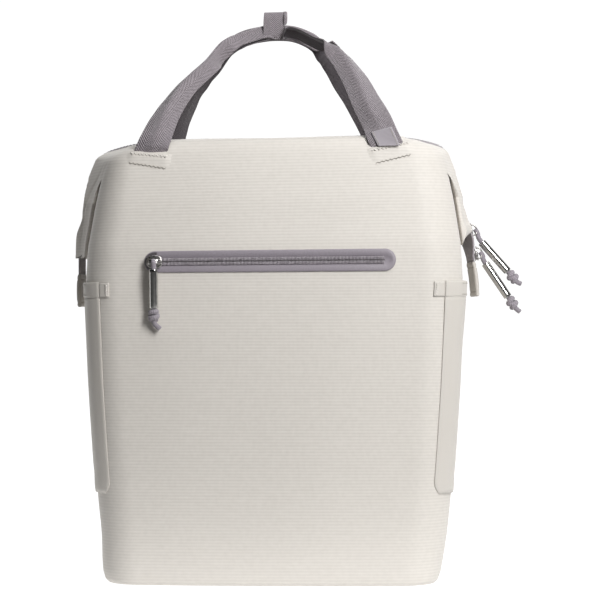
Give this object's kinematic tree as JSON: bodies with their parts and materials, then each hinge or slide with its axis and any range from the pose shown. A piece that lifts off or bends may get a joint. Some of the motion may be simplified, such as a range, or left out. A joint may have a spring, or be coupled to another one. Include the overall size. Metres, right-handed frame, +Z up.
{
  "type": "cooler backpack",
  "caption": "Soft insulated backpack with a zip over its folded roof, webbing top handles, a zipped front pocket and open side pockets.",
  "frame": {"origin": "middle of the flat base, on the surface that the backpack stands on", "axes": "+Z up through the handles, -Y towards the front with the zipped pocket, +X to the viewer's right, on the side of the two main sliders"},
  "size_m": [0.4008, 0.2632, 0.5026],
  "materials": {
    "body_cloth": "coated ribbed polyester, warm light grey",
    "light_patch": "smooth welded patch, light grey",
    "webbing": "woven polyester webbing, mauve grey",
    "zip_tape": "coated zip tape, mauve grey",
    "zip_teeth": "moulded coil",
    "zip_panel": "smooth welded panel, mauve grey",
    "slider_metal": "coated cast slider",
    "sleeve_metal": "polished tube",
    "pull_cord": "braided cord",
    "pad_cloth": "padded strap cloth",
    "buckle_plastic": "moulded strap adjuster"
  },
  "bodies": {
    "root": {"anchor_patch_front_left": "light_patch", "anchor_patch_front_right": "light_patch", "anchor_patch_rear_left": "light_patch", "anchor_patch_rear_right": "light_patch", "handle_front": "webbing", "handle_rear": "webbing", "handle_tag": "light_patch", "handle_wrap": "webbing", "lower_pull_cord": "pull_cord", "lower_pull_knot": "pull_cord", "lower_pull_sleeve": "sleeve_metal", "lower_webbing_left": "webbing", "lower_webbing_right": "webbing", "main_slider_lower": "slider_metal", "main_slider_upper": "slider_metal", "main_zip_end_left": "light_patch", "main_zip_end_right": "light_patch", "main_zip_tape": "zip_tape", "main_zip_teeth": "zip_teeth", "pocket_band_left": "body_cloth", "pocket_band_right": "body_cloth", "pocket_pull_cord": "pull_cord", "pocket_pull_knot": "pull_cord", "pocket_pull_sleeve": "sleeve_metal", "pocket_slider": "slider_metal", "pocket_tab_left": "light_patch", "pocket_tab_right": "light_patch", "pocket_zip_panel": "zip_panel", "pocket_zip_teeth": "zip_teeth", "shell": "body_cloth", "shoulder_strap_left": "pad_cloth", "shoulder_strap_right": "pad_cloth", "side_fold_left": "body_cloth", "side_fold_right": "body_cloth", "side_pocket_left": "body_cloth", "side_pocket_right": "body_cloth", "strap_adjuster_left": "buckle_plastic", "strap_adjuster_right": "buckle_plastic", "upper_pull_cord": "pull_cord", "upper_pull_knot": "pull_cord", "upper_pull_sleeve": "sleeve_metal"}
  },
  "joints": []
}
